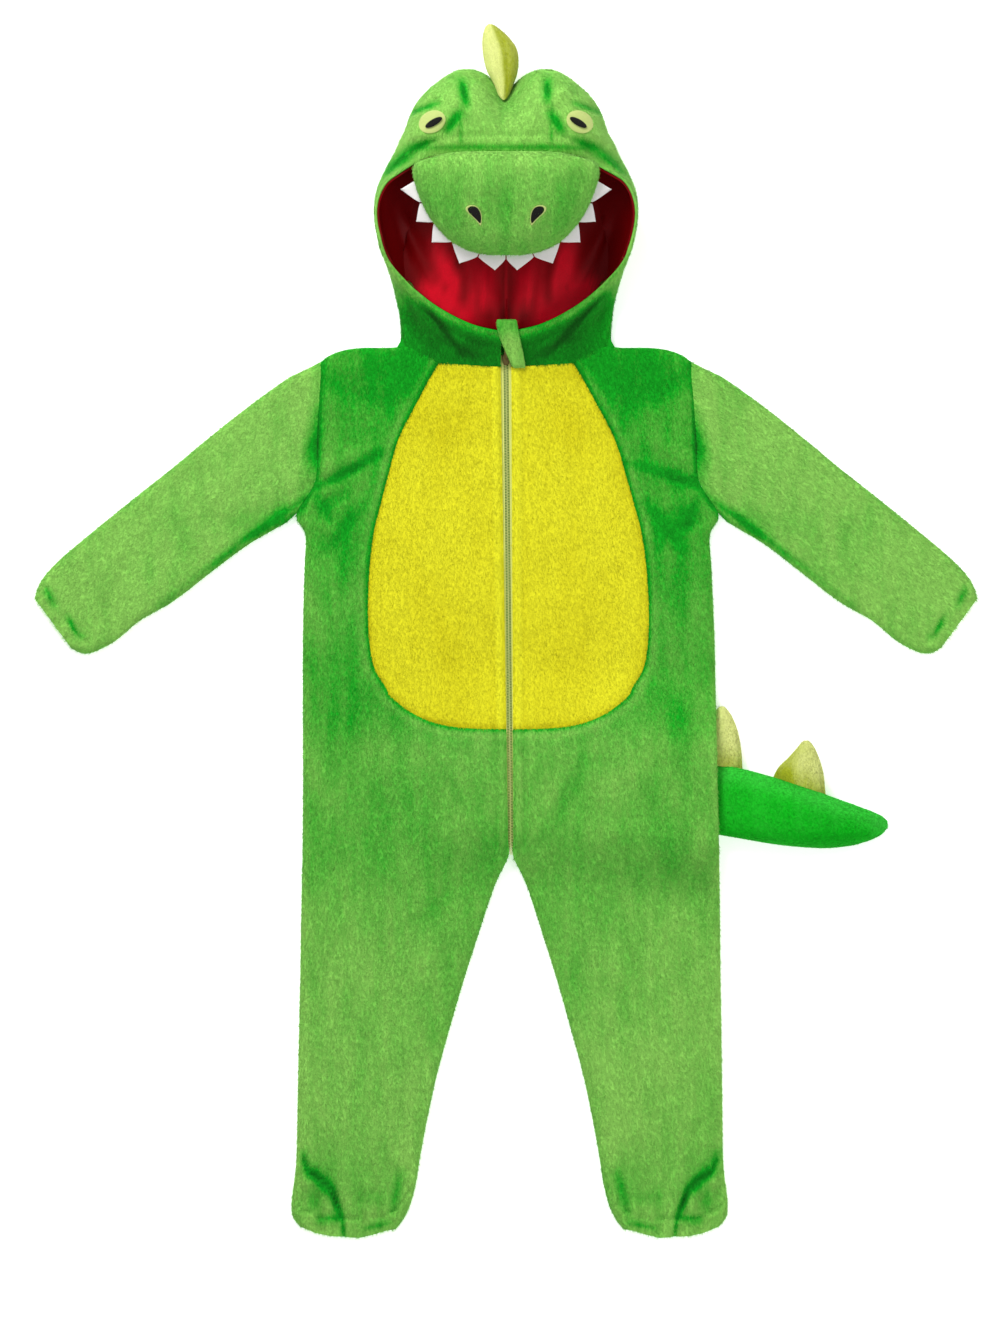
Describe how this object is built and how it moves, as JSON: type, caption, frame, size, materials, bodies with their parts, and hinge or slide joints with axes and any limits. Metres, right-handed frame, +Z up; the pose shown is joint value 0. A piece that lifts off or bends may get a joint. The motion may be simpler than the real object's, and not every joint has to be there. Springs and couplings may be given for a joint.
{
  "type": "dragon onesie",
  "caption": "Child's plush dragon onesie laid flat on its back: hooded jumpsuit with a zip, a set-in tummy, a toothed jaw over the face opening, and a stuffed tail and spikes.",
  "frame": {"origin": "centre of the garment's box, on the surface that it lies on", "axes": "+Y from the feet to the hood, +Z up out of the front, +X to the side where the tail shows"},
  "size_m": [0.8972, 1.1502, 0.1171],
  "materials": {
    "plush_green": "short plush with a soft nap",
    "plush_yellow": "short plush",
    "satin_red": "satin",
    "felt_white": "felt",
    "plush_pale": "short plush",
    "felt_cream": "felt",
    "felt_black": "felt",
    "zip_tape": "woven tape",
    "zip_chain": "moulded coil",
    "zip_metal": "dark plated"
  },
  "bodies": {
    "root": {"front_left": "plush_green", "front_right": "plush_green", "back_left": "plush_green", "back_right": "plush_green", "sleeve_left": "plush_green", "sleeve_right": "plush_green", "hood_side_left": "plush_green", "hood_centre": "plush_green", "hood_side_right": "plush_green", "snout": "plush_green", "tail_upper": "plush_green", "tail_lower": "plush_green", "chin_tab": "plush_green", "belly_left": "plush_yellow", "belly_right": "plush_yellow", "lining_side_left": "satin_red", "lining_centre": "satin_red", "lining_side_right": "satin_red", "palate": "satin_red", "tooth_left_1": "felt_white", "tooth_left_2": "felt_white", "tooth_left_3": "felt_white", "tooth_left_4": "felt_white", "tooth_left_5": "felt_white", "tooth_right_1": "felt_white", "tooth_right_2": "felt_white", "tooth_right_3": "felt_white", "tooth_right_4": "felt_white", "tooth_right_5": "felt_white", "head_spike": "plush_pale", "tail_spike_1": "plush_pale", "tail_spike_2": "plush_pale", "eye_left": "felt_cream", "eye_right": "felt_cream", "pupil_left": "felt_black", "pupil_right": "felt_black", "nostril_left": "felt_black", "nostril_right": "felt_black", "zip_tape_left": "zip_tape", "zip_tape_right": "zip_tape", "zip_chain": "zip_chain", "zip_slider": "zip_metal", "zip_pull": "zip_metal"}
  },
  "joints": []
}
